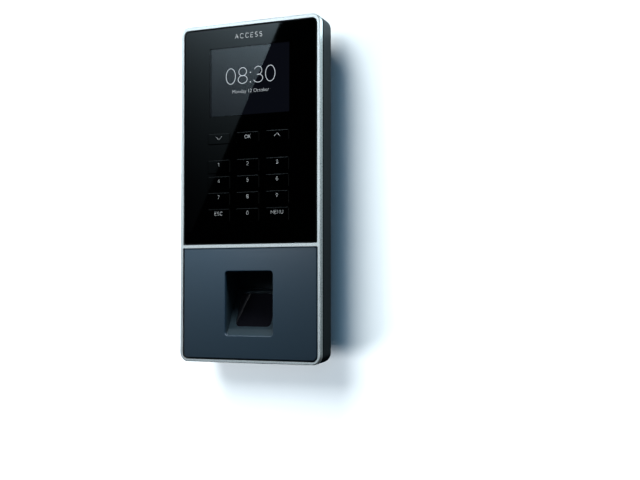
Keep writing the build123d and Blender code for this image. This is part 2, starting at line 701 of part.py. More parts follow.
with BuildPart() as finger_pocket:
    with BuildSketch(Plane.YZ):
        with BuildLine():
            Polyline([(depth - TERMINAL_DEPTH, z) for depth, z in bucket_profile], close=True)
        make_face()
    extrude(amount=POCKET_WIDTH / 2 + POCKET_WALL, both=True)
    with BuildSketch(level(POCKET_FLANGE_BACK)):
        with Locations((0, POCKET_Z)):
            RectangleRounded(POCKET_FLANGE_WIDTH, POCKET_FLANGE_HEIGHT, POCKET_FLANGE_CORNER)
            with GridLocations(2 * FLANGE_SCREW_X, 2 * FLANGE_SCREW_Z, 2, 2):
                Circle(M2_CLEARANCE, mode=Mode.SUBTRACT)
    extrude(amount=POCKET_FLANGE_BACK - CHASSIS_BACK)
    add(pocket_hollow.part, mode=Mode.SUBTRACT)
    with BuildSketch(sensor_bed):
        RectangleRounded(
            GLASS_WIDTH + 2 * GLASS_CLEARANCE, GLASS_LENGTH + 2 * GLASS_CLEARANCE, GLASS_CORNER
        )
    extrude(amount=-SENSOR_WALL, mode=Mode.SUBTRACT)
    with BuildSketch(sensor_bed.offset(-GLASS_STEP)):
        Rectangle(
            GLASS_WIDTH + 2 * (GLASS_FLANGE + GLASS_CLEARANCE),
            GLASS_LENGTH + 2 * (GLASS_FLANGE + GLASS_CLEARANCE),
        )
    extrude(amount=-SENSOR_WALL, mode=Mode.SUBTRACT)
    with BuildSketch(sensor_bed.offset(-SENSOR_WALL)):
        with GridLocations(2 * MODULE_SCREW_X, 0, 2, 1):
            Circle(M2_RADIUS)
    extrude(amount=M2_LENGTH - MODULE_EAR - SENSOR_GASKET, mode=Mode.SUBTRACT)
finish(finger_pocket, "finger_pocket")

with BuildPart() as sensor_glass:
    with BuildSketch(sensor_bed.offset(-GLASS_STEP)):
        RectangleRounded(GLASS_WIDTH, GLASS_LENGTH, GLASS_CORNER)
    extrude(amount=GLASS_STEP - GLASS_SUNK)
    with BuildSketch(sensor_bed.offset(-SENSOR_WALL)):
        Rectangle(GLASS_WIDTH + 2 * GLASS_FLANGE, GLASS_LENGTH + 2 * GLASS_FLANGE)
    extrude(amount=SENSOR_WALL - GLASS_STEP)
finish(sensor_glass, "sensor_glass")

with BuildPart() as sensor_gasket:
    with BuildSketch(sensor_bed.offset(-SENSOR_WALL - SENSOR_GASKET)):
        Rectangle(GLASS_WIDTH + 2 * GLASS_FLANGE, GLASS_LENGTH + 2 * GLASS_FLANGE)
        Rectangle(
            GLASS_WIDTH - 2 * SENSOR_GASKET_LAP, GLASS_LENGTH - 2 * SENSOR_GASKET_LAP, mode=Mode.SUBTRACT
        )
    extrude(amount=SENSOR_GASKET)
finish(sensor_gasket, "sensor_gasket")

module_front = SENSOR_WALL + SENSOR_GASKET
with BuildPart() as sensor_module:
    with BuildSketch(sensor_bed.offset(-module_front - MODULE_EAR)):
        RectangleRounded(MODULE_WIDTH, MODULE_EAR_LENGTH, MODULE_EAR_CORNER)
        Rectangle(MODULE_BODY_WIDTH, MODULE_LENGTH)
        with GridLocations(2 * MODULE_SCREW_X, 0, 2, 1):
            Circle(M2_CLEARANCE, mode=Mode.SUBTRACT)
    extrude(amount=MODULE_EAR)
    with BuildSketch(sensor_bed.offset(-module_front - MODULE_BODY)):
        Rectangle(MODULE_BODY_WIDTH, MODULE_LENGTH)
    extrude(amount=MODULE_BODY - MODULE_EAR)
    with BuildSketch(sensor_bed.offset(-module_front)):
        Rectangle(GLASS_WIDTH - 2 * MODULE_RIM, GLASS_LENGTH - 2 * MODULE_RIM)
    extrude(amount=-MODULE_BODY / 2, mode=Mode.SUBTRACT)
finish(sensor_module, "sensor_module")

with BuildPart() as sensor_cable:
    with BuildLine() as cable_path:
        FilletPolyline(
            [(x, depth - TERMINAL_DEPTH, z) for x, depth, z in SENSOR_CABLE_ROUTE], radius=CABLE_BEND
        )
    with BuildSketch(Plane(cable_path.line @ 0, z_dir=cable_path.line % 0)):
        Circle(CABLE_RADIUS)
    sweep()
    with BuildSketch(level(PCB_FRONT)):
        with Locations((SENSOR_CABLE_X, CABLE_PLUG_Z)):
            Rectangle(CABLE_PLUG_WIDTH, CABLE_PLUG_HEIGHT)
    extrude(amount=2 * CABLE_RADIUS)
finish(sensor_cable, "sensor_cable")

with BuildPart() as rfid_antenna:
    with BuildSketch(level(ANTENNA_BACK)):
        with Locations((0, POCKET_Z)):
            RectangleRounded(ANTENNA_WIDTH, ANTENNA_HEIGHT, ANTENNA_CORNER)
            RectangleRounded(
                POCKET_FLANGE_WIDTH + 2 * ANTENNA_CLEARANCE, POCKET_FLANGE_HEIGHT + 2 * ANTENNA_CLEARANCE,
                ANTENNA_CORNER, mode=Mode.SUBTRACT,
            )
    extrude(amount=ANTENNA_BACK - CHASSIS_BACK)
finish(rfid_antenna, "rfid_antenna")

# ================================================================ electronics
with BuildPart() as main_pcb:
    with BuildSketch(level(PCB_BACK)):
        with Locations((0, (PCB_TOP + PCB_BOTTOM) / 2)):
            RectangleRounded(PCB_WIDTH, PCB_TOP - PCB_BOTTOM, PCB_CORNER)
        with Locations(*PCB_SCREWS):
            Circle(PCB_SCREW_RADIUS + PCB_SCREW_CLEARANCE, mode=Mode.SUBTRACT)
    extrude(amount=PCB_BACK - PCB_FRONT)
finish(main_pcb, "main_pcb")

shield_can = board_part(*SHIELD_CAN)
finish(shield_can, "shield_can")

wifi_module = board_part(*WIFI_MODULE)
finish(wifi_module, "wifi_module")

with BuildPart() as buzzer:
    with BuildSketch(level(PCB_BACK + BUZZER_HEIGHT)):
        with Locations(BUZZER_PLACE):
            Circle(BUZZER_RADIUS)
    extrude(amount=BUZZER_HEIGHT)
    with BuildSketch(level(PCB_BACK + BUZZER_HEIGHT)):
        with Locations(BUZZER_PLACE):
            Circle(BUZZER_PORT_RADIUS)
    extrude(amount=BUZZER_PORT_DEPTH, mode=Mode.SUBTRACT)
finish(buzzer, "buzzer")

with BuildPart() as coin_cell_holder:
    with BuildSketch(level(PCB_BACK + HOLDER_HEIGHT)):
        with Locations(CELL_PLACE):
            RectangleRounded(HOLDER_SIZE, HOLDER_SIZE, HOLDER_CORNER)
    extrude(amount=HOLDER_HEIGHT)
    with BuildSketch(level(PCB_BACK + HOLDER_HEIGHT)):
        with Locations(CELL_PLACE):
            Circle(CELL_RADIUS + CELL_CLEARANCE)
    extrude(amount=HOLDER_HEIGHT - HOLDER_FLOOR, mode=Mode.SUBTRACT)
finish(coin_cell_holder, "coin_cell_holder")

with BuildPart() as coin_cell:
    with BuildSketch(level(PCB_BACK + HOLDER_FLOOR + CELL_HEIGHT)):
        with Locations(CELL_PLACE):
            Circle(CELL_RADIUS)
    extrude(amount=CELL_HEIGHT)
    chamfer(coin_cell.edges().filter_by(GeomType.CIRCLE), CELL_EDGE)
finish(coin_cell, "coin_cell")

# Sockets on the board's lower edge, mouths down into the cable well.
socket_plane = Plane.XY.offset(WELL_TOP)


def socket_body(x, width, thickness, length):
    """Socket shell from the well's upper wall upwards, standing on the main board."""
    with BuildPart() as shell:
        with BuildSketch(socket_plane):
            with Locations((x, PCB_BACK + thickness / 2 - TERMINAL_DEPTH)):
                Rectangle(width, thickness)
        extrude(amount=length)
    return shell.part


jack_shell = socket_body(JACK_X, JACK_WIDTH, JACK_THICKNESS, JACK_LENGTH)
usb_shell = socket_body(USB_X, USB_WIDTH, USB_THICKNESS, USB_LENGTH)
inlet_shell = socket_body(INLET_X, INLET_WIDTH, INLET_THICKNESS, INLET_LENGTH)

with BuildPart() as ethernet_jack:
    add(jack_shell)
    with BuildSketch(socket_plane):
        with Locations((JACK_X, PCB_BACK + JACK_THICKNESS / 2 - TERMINAL_DEPTH)):
            Rectangle(JACK_MOUTH_WIDTH, JACK_MOUTH_THICKNESS)
    extrude(amount=JACK_MOUTH_DEPTH, mode=Mode.SUBTRACT)
finish(ethernet_jack, "ethernet_jack")

with BuildPart() as usb_port:
    add(usb_shell)
    with BuildSketch(socket_plane):
        with Locations((USB_X, PCB_BACK + USB_THICKNESS / 2 - TERMINAL_DEPTH)):
            Rectangle(USB_WIDTH - 2 * USB_WALL, USB_THICKNESS - 2 * USB_WALL)
        with Locations((USB_X, PCB_BACK + USB_TONGUE_RISE + USB_TONGUE / 2 - TERMINAL_DEPTH)):
            Rectangle(USB_TONGUE_WIDTH, USB_TONGUE, mode=Mode.SUBTRACT)
    extrude(amount=USB_MOUTH_DEPTH, mode=Mode.SUBTRACT)
finish(usb_port, "usb_port")

with BuildPart() as dc_inlet:
    add(inlet_shell)
    with BuildSketch(socket_plane):
        with Locations((INLET_X, PCB_BACK + INLET_THICKNESS / 2 - TERMINAL_DEPTH)):
            Circle(INLET_BORE)
            Circle(INLET_PIN, mode=Mode.SUBTRACT)
    extrude(amount=INLET_BORE_DEPTH, mode=Mode.SUBTRACT)
finish(dc_inlet, "dc_inlet")

with BuildPart() as tamper_switch:
    with BuildSketch(level(TAMPER_BODY_BACK)):
        with Locations((TAMPER_X, TAMPER_Z)):
            RectangleRounded(TAMPER_BODY_SIZE, TAMPER_BODY_SIZE, TAMPER_BODY_CORNER)
    extrude(amount=TAMPER_BODY_BACK - PCB_BACK)
    with BuildSketch(level(TAMPER_BUTTON_BACK)):
        with Locations((TAMPER_X, TAMPER_Z)):
            Circle(TAMPER_BUTTON_RADIUS)
    extrude(amount=TAMPER_BUTTON_BACK - TAMPER_BODY_BACK)
finish(tamper_switch, "tamper_switch")

with BuildPart() as tamper_plunger:
    with BuildSketch(level(TAMPER_TIP)):
        with Locations((TAMPER_X, TAMPER_Z)):
            Circle(TAMPER_RADIUS)
    extrude(amount=TAMPER_TIP - TAMPER_BUTTON_BACK - TAMPER_GAP)
    with BuildSketch(level(TAMPER_COLLAR_BACK)):
        with Locations((TAMPER_X, TAMPER_Z)):
            Circle(TAMPER_COLLAR_RADIUS)
    extrude(amount=TAMPER_COLLAR_HEIGHT)
    fillet(tamper_plunger.faces().sort_by(Axis.Y)[-1].edges(), TAMPER_TIP_ROUNDING)
finish(tamper_plunger, "tamper_plunger")

# ================================================================ rear housing
with BuildPart() as housing_seal:
    with BuildSketch(level(HOUSING_FRONT)):
        frame_outline(SEAL_INSET, FRAME_CORNER - SEAL_INSET)
        frame_outline(SEAL_INNER_INSET, FRAME_CORNER - SEAL_INNER_INSET, Mode.SUBTRACT)
    extrude(amount=HOUSING_FRONT - CHASSIS_BACK)
finish(housing_seal, "housing_seal")

with BuildPart() as shell_cavity:
    for front, back in zip(CAVITY_SECTIONS, CAVITY_SECTIONS[1:]):
        for depth, inset, corner in (front, back):
            with BuildSketch(level(depth)):
                frame_outline(inset, corner)
        loft(ruled=True)
    with BuildSketch(level(HOUSING_BACK)):
        with GridLocations(2 * TOWER_X, 2 * TOWER_Z, 2, 2):
            Circle(TOWER_RADIUS)
    extrude(amount=HOUSING_BACK - TOWER_FRONT, mode=Mode.SUBTRACT)
    with BuildSketch(level(HOUSING_BACK)):
        with Locations((0, (BAY_TOP + BAY_BOTTOM) / 2)):
            Rectangle(BAY_WIDTH + 2 * BAY_WALL, BAY_TOP - BAY_BOTTOM + 2 * BAY_WALL)
        with Locations((0, BAY_BOTTOM - LOCK_BLOCK / 2)):
            Rectangle(LOCK_BLOCK, LOCK_BLOCK + BAY_FLOOR)
    extrude(amount=BAY_DEPTH + BAY_FLOOR, mode=Mode.SUBTRACT)
    with BuildSketch(level(HOUSING_BACK)):
        with Locations((0, (WELL_TOP + WELL_BOTTOM) / 2)):
            Rectangle(WELL_WIDTH + 2 * BAY_WALL, WELL_TOP - WELL_BOTTOM + 2 * BAY_WALL)
    extrude(amount=HOUSING_BACK - WELL_FRONT + BAY_WALL, mode=Mode.SUBTRACT)

with BuildPart() as rear_housing:
    for front, back in zip(SHELL_SECTIONS, SHELL_SECTIONS[1:]):
        for depth, inset, corner in (front, back):
            with BuildSketch(level(depth)):
                frame_outline(inset, corner)
        loft(ruled=True)
    add(shell_cavity.part, mode=Mode.SUBTRACT)
    with BuildSketch(level(HOUSING_BACK)):
        with Locations((0, (BAY_TOP + BAY_BOTTOM) / 2)):
            RectangleRounded(BAY_WIDTH, BAY_TOP - BAY_BOTTOM, BAY_CORNER)
    extrude(amount=BAY_DEPTH, mode=Mode.SUBTRACT)
    with BuildSketch(level(HOUSING_BACK)):
        with Locations((0, (WELL_TOP + WELL_BOTTOM) / 2)):
            Rectangle(WELL_WIDTH, WELL_TOP - WELL_BOTTOM)
    extrude(amount=HOUSING_BACK - WELL_FRONT, mode=Mode.SUBTRACT)
    with BuildSketch(level(HOUSING_BACK)):
        with GridLocations(2 * TOWER_X, 2 * TOWER_Z, 2, 2):
            Circle(TOWER_COUNTERBORE)
    extrude(amount=HOUSING_BACK - TOWER_SEAT, mode=Mode.SUBTRACT)
    with BuildSketch(level(TOWER_SEAT)):
        with GridLocations(2 * TOWER_X, 2 * TOWER_Z, 2, 2):
            Circle(TOWER_HOLE)
    extrude(amount=TOWER_SEAT - TOWER_FRONT, mode=Mode.SUBTRACT)
    with BuildSketch(socket_plane):
        for x, width, thickness in SOCKETS:
            with Locations((x, PCB_BACK + thickness / 2 - TERMINAL_DEPTH)):
                Rectangle(width + 2 * SOCKET_CLEARANCE, thickness + 2 * SOCKET_CLEARANCE)
    extrude(amount=BAY_WALL, mode=Mode.SUBTRACT)
    with BuildSketch(Plane.XY.offset(BAY_TOP)):
        with Locations((0, HOOK_FRONT + BRACKET_THICKNESS / 2 - TERMINAL_DEPTH)):
            with GridLocations(2 * HOOK_X, 0, 2, 1):
                Rectangle(HOOK_WIDTH + 2 * HOOK_SIDE_PLAY, BRACKET_THICKNESS + 2 * HOOK_PLAY)
    extrude(amount=BAY_WALL, mode=Mode.SUBTRACT)
    with BuildSketch(Plane.XY.offset(BAY_BOTTOM)):
        with Locations((0, LOCK_DEPTH - TERMINAL_DEPTH)):
            Circle(LOCK_HOLE)
    extrude(amount=-2 * LOCK_BLOCK, mode=Mode.SUBTRACT)
    with BuildSketch(Plane.XY.offset(LOCK_SEAT)):
        with Locations((0, LOCK_DEPTH - TERMINAL_DEPTH)):
            Circle(LOCK_COUNTERBORE)
    extrude(amount=-LOCK_BLOCK, mode=Mode.SUBTRACT)
    with BuildSketch(level(HOUSING_BACK)):
        with Locations((TAMPER_X, TAMPER_Z)):
            Circle(TAMPER_RADIUS + TAMPER_CLEARANCE)
    extrude(amount=BAY_DEPTH + BAY_FLOOR, mode=Mode.SUBTRACT)
finish(rear_housing, "rear_housing")

# ================================================================ wall bracket
with BuildPart() as wall_bracket:
    with BuildSketch(level(TERMINAL_DEPTH)):
        with Locations((0, (BRACKET_TOP + BRACKET_BOTTOM) / 2)):
            RectangleRounded(BRACKET_WIDTH, BRACKET_TOP - BRACKET_BOTTOM, BRACKET_CORNER)
        with Locations((0, (CABLE_WINDOW_TOP + CABLE_WINDOW_BOTTOM) / 2)):
            RectangleRounded(
                CABLE_WINDOW_WIDTH, CABLE_WINDOW_TOP - CABLE_WINDOW_BOTTOM, BRACKET_CORNER, mode=Mode.SUBTRACT
            )
        with GridLocations(WALL_SCREW_SPACING_X, WALL_SCREW_SPACING_Z, 2, 2):
            Circle(WALL_SCREW_HOLE, mode=Mode.SUBTRACT)
    extrude(amount=BRACKET_THICKNESS)
    plate_front = TERMINAL_DEPTH - BRACKET_THICKNESS
    with BuildSketch(level(plate_front)):
        with Locations((0, BRACKET_TOP - BRACKET_THICKNESS / 2)):
            with GridLocations(2 * HOOK_X, 0, 2, 1):
                Rectangle(HOOK_WIDTH, BRACKET_THICKNESS)
    extrude(amount=plate_front - HOOK_FRONT)
    with BuildSketch(level(HOOK_FRONT + BRACKET_THICKNESS)):
        with Locations((0, BRACKET_TOP + HOOK_RISE / 2 - BRACKET_THICKNESS / 2)):
            with GridLocations(2 * HOOK_X, 0, 2, 1):
                Rectangle(HOOK_WIDTH, HOOK_RISE + BRACKET_THICKNESS)
    extrude(amount=BRACKET_THICKNESS)
    with BuildSketch(level(plate_front)):
        with Locations((0, BRACKET_BOTTOM + BRACKET_THICKNESS / 2)):
            Rectangle(LOCK_TAB_WIDTH, BRACKET_THICKNESS)
        with GridLocations(BRACKET_WIDTH - BRACKET_THICKNESS, 0, 2, 1):
            Rectangle(BRACKET_THICKNESS, STIFFENER_LENGTH)
    extrude(amount=STIFFENER_HEIGHT)
    with BuildSketch(Plane.XY.offset(BRACKET_BOTTOM)):
        with Locations((0, LOCK_DEPTH - TERMINAL_DEPTH)):
            Circle(LOCK_SCREW_RADIUS + LOCK_CLEARANCE)
    extrude(amount=BRACKET_THICKNESS, mode=Mode.SUBTRACT)
finish(wall_bracket, "wall_bracket")

# ================================================================ fasteners
m2_bolts = [
    screw(wallward(x, z, depth), M2_HEAD, M2_HEAD_HEIGHT, M2_RADIUS, M2_LENGTH)
    for x, z, depth in CHASSIS_M2_SCREWS
]
module_back = sensor_bed.offset(-module_front - MODULE_EAR)
for side in (-1, 1):
    seat = Plane(
        module_back.from_local_coords((side * MODULE_SCREW_X, 0, 0)), x_dir=(1, 0, 0),
        z_dir=-sensor_bed.z_dir,
    )
    m2_bolts.append(screw(seat, M2_HEAD, M2_HEAD_HEIGHT, M2_RADIUS, M2_LENGTH))
with BuildPart() as m2_screws:
    add(m2_bolts)
finish(m2_screws, "m2_screws")

pcb_bolts = [
    screw(wallward(x, z, PCB_BACK), *PCB_SCREW_HEAD, PCB_SCREW_RADIUS, PCB_SCREW_LENGTH)
    for x, z in PCB_SCREWS
]
with BuildPart() as pcb_screws:
    add(pcb_bolts)
finish(pcb_screws, "pcb_screws")

with BuildPart() as threaded_inserts:
    with BuildSketch(level(TOWER_FRONT)):
        with GridLocations(2 * TOWER_X, 2 * TOWER_Z, 2, 2):
            Circle(INSERT_RADIUS)
            Circle(HOUSING_SCREW_RADIUS, mode=Mode.SUBTRACT)
    extrude(amount=INSERT_LENGTH)
finish(threaded_inserts, "threaded_inserts")

housing_bolts = [
    screw(wallward(x, z, TOWER_SEAT), *HOUSING_SCREW_HEAD, HOUSING_SCREW_RADIUS, HOUSING_SCREW_LENGTH)
    for x in (-TOWER_X, TOWER_X)
    for z in (-TOWER_Z, TOWER_Z)
]
with BuildPart() as housing_screws:
    add(housing_bolts)
finish(housing_screws, "housing_screws")

lock_bolt = screw(
    Plane((0, LOCK_DEPTH - TERMINAL_DEPTH, LOCK_SEAT), x_dir=(1, 0, 0), z_dir=(0, 0, -1)),
    *SECURITY_SCREW_HEAD, LOCK_SCREW_RADIUS, SECURITY_SCREW_LENGTH,
)
with BuildPart() as security_screw:
    add(lock_bolt)
finish(security_screw, "security_screw")
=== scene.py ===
"""Looks of the wall-mounted fingerprint terminal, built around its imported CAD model. Metres, in the CAD's frame."""

import json
import math

import bpy
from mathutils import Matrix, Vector


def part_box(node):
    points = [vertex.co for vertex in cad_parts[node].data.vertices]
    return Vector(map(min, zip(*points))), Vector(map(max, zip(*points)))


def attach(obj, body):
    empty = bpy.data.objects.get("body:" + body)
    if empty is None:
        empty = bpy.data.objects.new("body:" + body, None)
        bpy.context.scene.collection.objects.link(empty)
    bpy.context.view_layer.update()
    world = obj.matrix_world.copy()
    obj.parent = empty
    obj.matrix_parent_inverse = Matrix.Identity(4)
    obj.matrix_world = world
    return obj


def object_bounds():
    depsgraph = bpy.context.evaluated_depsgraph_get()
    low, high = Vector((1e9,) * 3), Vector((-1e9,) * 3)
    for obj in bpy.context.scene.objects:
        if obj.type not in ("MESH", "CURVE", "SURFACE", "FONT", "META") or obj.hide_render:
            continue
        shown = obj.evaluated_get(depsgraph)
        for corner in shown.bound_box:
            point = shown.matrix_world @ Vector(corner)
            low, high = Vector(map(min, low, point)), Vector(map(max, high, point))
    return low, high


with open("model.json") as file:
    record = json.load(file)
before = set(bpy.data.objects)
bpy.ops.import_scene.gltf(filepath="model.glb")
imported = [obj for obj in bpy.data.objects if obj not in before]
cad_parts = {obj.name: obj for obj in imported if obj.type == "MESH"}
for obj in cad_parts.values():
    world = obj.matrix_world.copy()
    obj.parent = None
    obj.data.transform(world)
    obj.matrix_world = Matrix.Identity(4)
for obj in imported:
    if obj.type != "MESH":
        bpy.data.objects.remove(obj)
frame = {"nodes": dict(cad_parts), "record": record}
cad_low, cad_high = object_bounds()
nodes = frame["nodes"]
scene = bpy.context.scene

MM = 0.001
KEY_NODES = [name for name in nodes if name.startswith("key_") and name != "key_mat"]

# ---------------------------------------------------------------- camera
CAMERA_PLACE = Vector((0.3830, -0.6865, -0.0604))
CAMERA_AZIMUTH = math.radians(26.95)
CAMERA_PITCH = math.radians(2.25)
CAMERA_LENS = 68.29
SENSOR_WIDTH = 36.0


def make_camera():
    """Camera to the right of the terminal and a little below its middle, looking slightly up."""
    data = bpy.data.cameras.new("camera")
    data.lens = CAMERA_LENS
    data.sensor_width = SENSOR_WIDTH
    data.clip_start = 0.01
    data.clip_end = 50.0
    camera = bpy.data.objects.new("camera", data)
    camera.location = CAMERA_PLACE
    camera.rotation_euler = (math.pi / 2 + CAMERA_PITCH, 0, CAMERA_AZIMUTH)
    scene.collection.objects.link(camera)
    scene.camera = camera


# ---------------------------------------------------------------- stage
WALL_WHITE = (0.86, 0.88, 0.90, 1)
FLOOR_COLOUR = (0.80, 0.81, 0.82, 1)
FLOOR_DROP = 0.17
FLOOR_GLOW = 0.6
STAGE_SIZE = 3.0
WALL_GAP = 0.0002
PAINT_MOTTLE = 0.985
WORLD_GREY = (0.010, 0.015, 0.020, 1)
WORLD_GLOSS = (0.002, 0.003, 0.004, 1)
WORLD_WHITE = 1.05


def flat_mesh(name, corners):
    """One face through the given corners."""
    mesh = bpy.data.meshes.new(name)
    mesh.from_pydata([tuple(c) for c in corners], [], [list(range(len(corners)))])
    obj = bpy.data.objects.new(name, mesh)
    scene.collection.objects.link(obj)
    return obj


def stage_material(name, colour):
    """Plain matt surface with a faint mottle."""
    material, tree, shader = new_material(name)
    shader.inputs["Roughness"].default_value = 0.9
    shader.inputs["Specular IOR Level"].default_value = 0.0
    mottle = noise(tree, 40.0, 3.0)
    link_colour(tree, shader, mottle, [c * PAINT_MOTTLE for c in colour[:3]], colour[:3])
    return material, tree, shader


def make_floor():
    """Pale floor below the terminal, seen by the camera alone."""
    level = cad_low.z - FLOOR_DROP
    half = STAGE_SIZE / 2
    floor = flat_mesh(
        "floor", [(-half, -half, level), (half, -half, level), (half, half, level), (-half, half, level)]
    )
    material, _, shader = stage_material("floor_paint", FLOOR_COLOUR)
    shader.inputs["Emission Color"].default_value = FLOOR_COLOUR
    shader.inputs["Emission Strength"].default_value = FLOOR_GLOW
    floor.data.materials.append(material)
    floor.visible_diffuse = False
    floor.visible_glossy = False
    floor.visible_transmission = False
    floor.visible_shadow = False


def make_wall():
    """Pale wall behind the terminal, seen only from the front and by the camera alone."""
    half = STAGE_SIZE / 2
    back = cad_high.y + WALL_GAP
    low = cad_low.z - FLOOR_DROP
    wall = flat_mesh("wall", [(-half, back, low), (half, back, low), (half, back, half), (-half, back, half)])
    material, tree, shader = stage_material("wall_paint", WALL_WHITE)
    output = tree.nodes["Material Output"]
    side = tree.nodes.new("ShaderNodeNewGeometry")
    clear = tree.nodes.new("ShaderNodeBsdfTransparent")
    mix = tree.nodes.new("ShaderNodeMixShader")
    tree.links.new(side.outputs["Backfacing"], mix.inputs[0])
    tree.links.new(shader.outputs[0], mix.inputs[1])
    tree.links.new(clear.outputs[0], mix.inputs[2])
    tree.links.new(mix.outputs[0], output.inputs["Surface"])
    wall.data.materials.append(material)
    wall.visible_diffuse = False
    wall.visible_glossy = False
    wall.visible_transmission = False
    wall.visible_shadow = False
    return wall


def make_world():
    """White behind everything; dim and bluish as a light, and nearly black in reflections."""
    world = bpy.data.worlds.new("world")
    scene.world = world
    world.use_nodes = True
    tree = world.node_tree
    tree.nodes.clear()
    rays = tree.nodes.new("ShaderNodeLightPath")
    output = tree.nodes.new("ShaderNodeOutputWorld")
    white, dim, gloss = (tree.nodes.new("ShaderNodeBackground") for _ in range(3))
    white.inputs["Color"].default_value = (1, 1, 1, 1)
    white.inputs["Strength"].default_value = WORLD_WHITE
    dim.inputs["Color"].default_value = WORLD_GREY
    gloss.inputs["Color"].default_value = WORLD_GLOSS
    by_gloss, by_camera = (tree.nodes.new("ShaderNodeMixShader") for _ in range(2))
    tree.links.new(rays.outputs["Is Glossy Ray"], by_gloss.inputs[0])
    tree.links.new(dim.outputs[0], by_gloss.inputs[1])
    tree.links.new(gloss.outputs[0], by_gloss.inputs[2])
    tree.links.new(rays.outputs["Is Camera Ray"], by_camera.inputs[0])
    tree.links.new(by_gloss.outputs[0], by_camera.inputs[1])
    tree.links.new(white.outputs[0], by_camera.inputs[2])
    tree.links.new(by_camera.outputs[0], output.inputs[0])


def make_lamp(name, place, target, size, watts, colour=(1, 1, 1)):
    """Soft rectangular lamp, not seen by the camera itself."""
    data = bpy.data.lights.new(name, "AREA")
    data.shape = "RECTANGLE"
    data.size, data.size_y = size
    data.energy = watts
    data.color = colour
    lamp = bpy.data.objects.new(name, data)
    lamp.location = place
    lamp.rotation_euler = (Vector(target) - Vector(place)).to_track_quat("-Z", "Y").to_euler()
    lamp.visible_camera = False
    scene.collection.objects.link(lamp)
    return lamp


def link_lamp(lamp, objects, state):
    """Let a lamp light only these objects (INCLUDE), or everything but them (EXCLUDE)."""
    group = bpy.data.collections.new(lamp.name + "_receivers")
    lamp.light_linking.receiver_collection = group
    for obj in objects:
        group.objects.link(obj)
    for member in group.collection_objects:
        member.light_linking.link_state = state


BOX_SIZE = (0.15, 0.15)
# Name, place, watts and colour of the small softboxes, all aimed at the middle of the terminal's face.
SOFTBOXES = (
    ("overhead", (0.05, -0.10, 0.35), 2.9, (1, 1, 1)),
    ("high_right", (0.35, -0.20, 0.45), 0.85, (0.92, 0.98, 1)),
    ("side", (0.25, -0.03, 0.25), 0.32, (0.86, 0.98, 1)),
    ("low_left", (-0.35, -0.27, 0.05), 0.50, (0.90, 0.98, 1)),
    ("low_right", (0.10, -0.25, 0.04), 0.12, (0.84, 0.96, 1)),
    ("far_left", (-0.70, -0.70, 0.25), 0.28, (0.92, 0.98, 1)),
)
# Softboxes kept out of the finger pocket, which a hand would shade.
POCKET_SHADED = ("low_left", "low_right", "side", "high_right")
# Name, height, watts and colour of the wide strips that only the metal frame sees.
FRAME_STRIPS = (
    ("frame_high", 0.45, 1.1, (0.95, 1, 1)),
    ("frame_middle", 0.15, 0.92, (0.92, 0.99, 1)),
    ("frame_low", -0.10, 0.58, (0.82, 0.95, 1)),
)
STRIP_SIZE = (1.0, 0.3)
# Name, place, target, size, watts and colour of the lamps that only the wall sees.
WALL_WASHES = (
    ("wall_high", (-0.32, -1.0, 0.95), (0.05, 0, 0.05), (0.8, 1.3), 36.0, (0.94, 1, 1)),
    ("wall_low", (-0.90, -0.8, -0.40), (0.0, 0, -0.12), (0.5, 0.5), 15.0, (0.97, 1, 1)),
    ("wall_fill", (0.60, -1.5, 0.0), (0.05, 0, 0), (1.5, 1.5), 6.0, (0.33, 0.67, 1)),
)


def make_lights(wall):
    """Softboxes round the terminal and one behind it, strips for the frame, and washes for the wall."""
    front = (0, cad_low.y, 0)
    lamps = [make_lamp(name, place, front, BOX_SIZE, watts, colour) for name, place, watts, colour in SOFTBOXES]
    lamps.append(make_lamp("back_left", (-0.40, 0.50, 0.35), (0, 0, 0), (0.5, 0.5), 9.0))
    glossy = [nodes[name] for name in (*KEY_NODES, "upper_panel", "display_lens", "front_frame")]
    for lamp in lamps:
        shaded = [nodes["finger_pocket"]] if lamp.name in POCKET_SHADED else []
        link_lamp(lamp, [wall, *glossy, *shaded], "EXCLUDE")
    glance = make_lamp("panel_glance", (-0.03, -0.10, 0.02), (-0.03, 0, -0.02), (0.06, 0.06), 0.13)
    link_lamp(glance, [nodes["lower_panel"]], "INCLUDE")
    right = make_lamp("frame_right", (1.3, -0.6, 0.1), (0, 0, 0), (0.5, 0.5), 7.0, (0.90, 1, 1))
    link_lamp(right, [nodes["front_frame"]], "INCLUDE")
    for name, height, watts, colour in FRAME_STRIPS:
        strip = make_lamp(name, (-0.45, -1.0, height), (-0.05, 0, height / 3), STRIP_SIZE, watts, colour)
        link_lamp(strip, [nodes["front_frame"]], "INCLUDE")
    for wash in WALL_WASHES:
        link_lamp(make_lamp(*wash), [wall], "INCLUDE")


# ---------------------------------------------------------------- reflected softbox
CARD_DISTANCE = 1.2
# Where the softbox's straight edge shows in the glossy panel, as (x, z) at its top and low down.
CARD_EDGE_TOP = Vector((0.0223, 0.1045))
CARD_EDGE_LOW = Vector((-0.0289, 0.0021))
CARD_ABOVE = 0.06
CARD_BELOW = 0.03
CARD_WIDTH_TOP = 0.14
CARD_WIDTH_LOW = 0.06
CARD_STRENGTH = 1.9
CARD_COLOUR = (0.72, 0.95, 1.08, 1)
# Height on the panel over which the softbox grows e-fold, and the width over which it fades away from its edge.
CARD_FADE = 0.033
CARD_SIDE_FADE = 0.11
CARD_EDGE_LEVEL = 1.1
CARD_FAR_LEVEL = 0.1


def mirrored(x, z):
    """Point on the softbox's plane that the camera sees reflected at a place on the glossy panel."""
    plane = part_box("upper_panel")[0].y
    image = Vector((CAMERA_PLACE.x, 2 * plane - CAMERA_PLACE.y, CAMERA_PLACE.z))
    seen = Vector((x, plane, z))
    ray = seen - image
    return seen + ray * ((seen.y + CARD_DISTANCE) / -ray.y)


